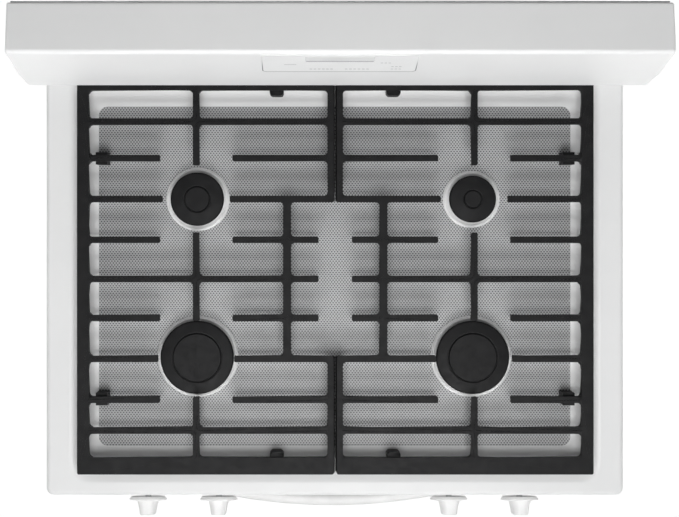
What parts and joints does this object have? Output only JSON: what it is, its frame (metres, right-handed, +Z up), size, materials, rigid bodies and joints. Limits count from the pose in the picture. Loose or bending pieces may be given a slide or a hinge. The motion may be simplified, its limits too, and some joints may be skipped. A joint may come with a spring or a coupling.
{
  "type": "freestanding gas range",
  "caption": "Freestanding gas range: recessed cooktop with sealed burners and cast grates, drop-down oven door with bowed handle, storage drawer, front knobs and rear backguard.",
  "frame": {"origin": "on the floor, under the middle of the overall box from the door handle to the rear edges of the sides", "axes": "+Z up, -Y towards the person using it (the front), +X to that person's right"},
  "size_m": [0.759, 0.687, 1.19],
  "materials": {
    "white_enamel": "gloss enamel",
    "speckled_enamel": "gloss enamel printed with dark dots in the well",
    "grey_enamel": "gloss enamel with fine white flecks",
    "cast_iron": "satin enamelled",
    "galvanised_steel": "satin",
    "chrome": "bright plated wire",
    "aluminium": "cast, satin",
    "brass": "machined",
    "white_plastic": "semi-gloss moulded",
    "black_plastic": "matte moulded",
    "tinted_glass": "tinted, polished",
    "lens_glass": "clear, polished",
    "mineral_wool": "loose wool blanket",
    "gasket_braid": "woven glass fibre cord"
  },
  "bodies": {
    "body": {"side_panel_left": "white_enamel", "side_panel_right": "white_enamel", "back_panel": "galvanised_steel", "base_frame": "galvanised_steel", "oven_cavity": "grey_enamel", "front_frame": "white_enamel", "insulation_wrap": "mineral_wool", "cooktop": "speckled_enamel", "control_panel": "white_enamel", "manifold_pipe": "galvanised_steel", "valve_body_1": "brass", "valve_body_2": "brass", "valve_body_3": "brass", "valve_body_4": "brass", "burner_head_front_left": "aluminium", "burner_head_front_right": "aluminium", "burner_head_rear_left": "aluminium", "burner_head_rear_right": "aluminium", "backguard_shell": "white_enamel", "backguard_back_cover": "galvanised_steel", "keypad_overlay": "white_plastic", "display_window": "tinted_glass", "control_board": "black_plastic", "oven_vent": "galvanised_steel", "oven_floor": "grey_enamel", "bake_burner": "galvanised_steel", "broil_burner": "galvanised_steel", "oven_light_lens": "lens_glass", "gas_regulator": "aluminium", "door_hinge_left": "galvanised_steel", "door_hinge_right": "galvanised_steel", "cord_gland": "black_plastic"},
    "door": {"door_outer_panel": "white_enamel", "door_window_glass": "tinted_glass", "door_inner_liner": "grey_enamel", "door_inner_glass": "tinted_glass", "door_handle": "white_plastic", "door_gasket": "gasket_braid"},
    "drawer": {"drawer_front": "white_enamel", "drawer_bin": "galvanised_steel"},
    "rack_lower": {"oven_rack_lower": "chrome"},
    "rack_upper": {"oven_rack_upper": "chrome"},
    "grate_left": {"grate_left": "cast_iron"},
    "grate_right": {"grate_right": "cast_iron"},
    "cap_front_left": {"burner_cap_front_left": "cast_iron"},
    "cap_front_right": {"burner_cap_front_right": "cast_iron"},
    "cap_rear_left": {"burner_cap_rear_left": "cast_iron"},
    "cap_rear_right": {"burner_cap_rear_right": "cast_iron"},
    "stem_1": {"valve_stem_1": "galvanised_steel"},
    "knob_1": {"knob_1": "white_plastic"},
    "stem_2": {"valve_stem_2": "galvanised_steel"},
    "knob_2": {"knob_2": "white_plastic"},
    "stem_3": {"valve_stem_3": "galvanised_steel"},
    "knob_3": {"knob_3": "white_plastic"},
    "stem_4": {"valve_stem_4": "galvanised_steel"},
    "knob_4": {"knob_4": "white_plastic"},
    "leg_front_left": {"levelling_leg_front_left": "black_plastic"},
    "leg_front_right": {"levelling_leg_front_right": "black_plastic"},
    "leg_rear_left": {"levelling_leg_rear_left": "black_plastic"},
    "leg_rear_right": {"levelling_leg_rear_right": "black_plastic"}
  },
  "joints": [
    {"name": "door_hinge", "type": "hinge", "parent": "body", "child": "door", "pos_m": [0, -0.2945, 0.278], "axis": [1, 0, 0], "range_deg": [0, 90], "stiffness_Nm_per_rad": 12, "springref_deg": -28.65},
    {"name": "drawer_slide", "type": "slide", "parent": "body", "child": "drawer", "axis": [0, -1, 0], "range_m": [0, 0.38]},
    {"name": "rack_lower_slide", "type": "slide", "parent": "body", "child": "rack_lower", "axis": [0, -1, 0], "range_m": [0, 0.045]},
    {"name": "rack_upper_slide", "type": "slide", "parent": "body", "child": "rack_upper", "axis": [0, -1, 0], "range_m": [0, 0.045]},
    {"name": "grate_left_lift", "type": "slide", "parent": "body", "child": "grate_left", "axis": [0, 0, 1], "range_m": [0, 0.08]},
    {"name": "grate_right_lift", "type": "slide", "parent": "body", "child": "grate_right", "axis": [0, 0, 1], "range_m": [0, 0.08]},
    {"name": "cap_front_left_lift", "type": "slide", "parent": "body", "child": "cap_front_left", "axis": [0, 0, 1], "range_m": [0, 0.05]},
    {"name": "cap_front_right_lift", "type": "slide", "parent": "body", "child": "cap_front_right", "axis": [0, 0, 1], "range_m": [0, 0.05]},
    {"name": "cap_rear_left_lift", "type": "slide", "parent": "body", "child": "cap_rear_left", "axis": [0, 0, 1], "range_m": [0, 0.05]},
    {"name": "cap_rear_right_lift", "type": "slide", "parent": "body", "child": "cap_rear_right", "axis": [0, 0, 1], "range_m": [0, 0.05]},
    {"name": "stem_1_push", "type": "slide", "parent": "body", "child": "stem_1", "axis": [0, 0.9903, -0.1392], "range_m": [0, 0.003], "stiffness_N_per_m": 600, "springref_m": -0.005},
    {"name": "knob_1_turn", "type": "hinge", "parent": "stem_1", "child": "knob_1", "pos_m": [-0.251, -0.30436, 0.854], "axis": [0, -0.9903, 0.1392], "range_deg": [0, 270]},
    {"name": "stem_2_push", "type": "slide", "parent": "body", "child": "stem_2", "axis": [0, 0.9903, -0.1392], "range_m": [0, 0.003], "stiffness_N_per_m": 600, "springref_m": -0.005},
    {"name": "knob_2_turn", "type": "hinge", "parent": "stem_2", "child": "knob_2", "pos_m": [-0.1555, -0.30436, 0.854], "axis": [0, -0.9903, 0.1392], "range_deg": [0, 270]},
    {"name": "stem_3_push", "type": "slide", "parent": "body", "child": "stem_3", "axis": [0, 0.9903, -0.1392], "range_m": [0, 0.003], "stiffness_N_per_m": 600, "springref_m": -0.005},
    {"name": "knob_3_turn", "type": "hinge", "parent": "stem_3", "child": "knob_3", "pos_m": [0.1555, -0.30436, 0.854], "axis": [0, -0.9903, 0.1392], "range_deg": [0, 270]},
    {"name": "stem_4_push", "type": "slide", "parent": "body", "child": "stem_4", "axis": [0, 0.9903, -0.1392], "range_m": [0, 0.003], "stiffness_N_per_m": 600, "springref_m": -0.005},
    {"name": "knob_4_turn", "type": "hinge", "parent": "stem_4", "child": "knob_4", "pos_m": [0.251, -0.30436, 0.854], "axis": [0, -0.9903, 0.1392], "range_deg": [0, 270]},
    {"name": "leg_front_left_turn", "type": "hinge", "parent": "body", "child": "leg_front_left", "pos_m": [-0.3295, -0.2275, 0], "axis": [0, 0, 1], "continuous": true},
    {"name": "leg_front_right_turn", "type": "hinge", "parent": "body", "child": "leg_front_right", "pos_m": [0.3295, -0.2275, 0], "axis": [0, 0, 1], "continuous": true},
    {"name": "leg_rear_left_turn", "type": "hinge", "parent": "body", "child": "leg_rear_left", "pos_m": [-0.3295, 0.2815, 0], "axis": [0, 0, 1], "continuous": true},
    {"name": "leg_rear_right_turn", "type": "hinge", "parent": "body", "child": "leg_rear_right", "pos_m": [0.3295, 0.2815, 0], "axis": [0, 0, 1], "continuous": true}
  ]
}
